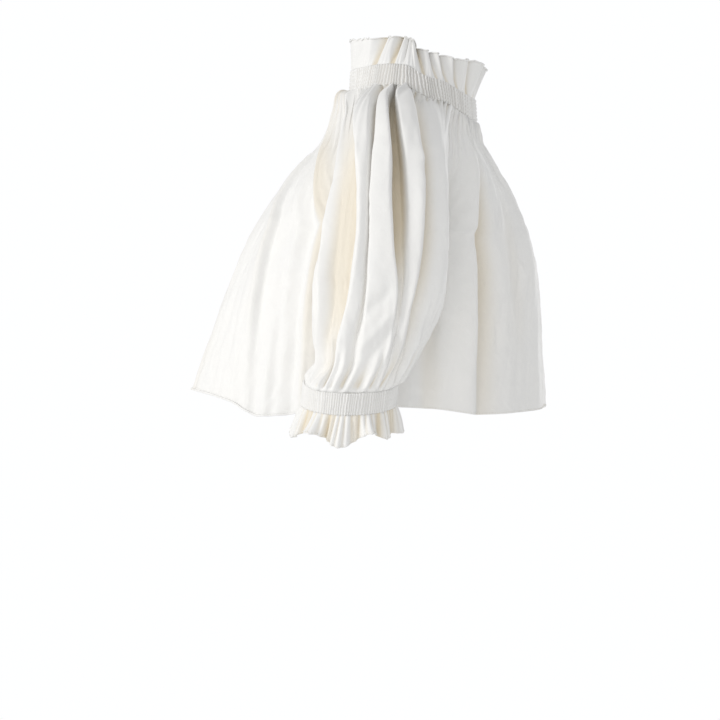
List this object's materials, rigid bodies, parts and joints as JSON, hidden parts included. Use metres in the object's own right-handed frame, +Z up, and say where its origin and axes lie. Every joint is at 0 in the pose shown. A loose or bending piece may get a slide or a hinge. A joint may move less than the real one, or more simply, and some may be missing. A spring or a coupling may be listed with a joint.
{
  "type": "smock top",
  "caption": "Cropped flared smock top in worn form, with a shirred neck band, a standing neck ruffle and raglan balloon sleeves gathered into shirred, ruffled cuffs.",
  "frame": {"origin": "centre of the neck opening, half way up the neck band, where the wearer holds the garment", "axes": "+Z up out of the neck, +X towards the wearer's left, -Y towards the wearer's front"},
  "size_m": [0.5921, 0.4285, 0.4778],
  "materials": {
    "poplin": "matt ivory-white cotton poplin",
    "shirring": "matt white cotton poplin, shirred with elastic thread"
  },
  "bodies": {
    "root": {"front_panel": "poplin", "back_panel": "poplin", "left_sleeve": "poplin", "right_sleeve": "poplin", "neck_ruffle": "poplin", "left_cuff_ruffle": "poplin", "right_cuff_ruffle": "poplin", "neck_band": "shirring", "left_cuff_band": "shirring", "right_cuff_band": "shirring"}
  },
  "joints": []
}
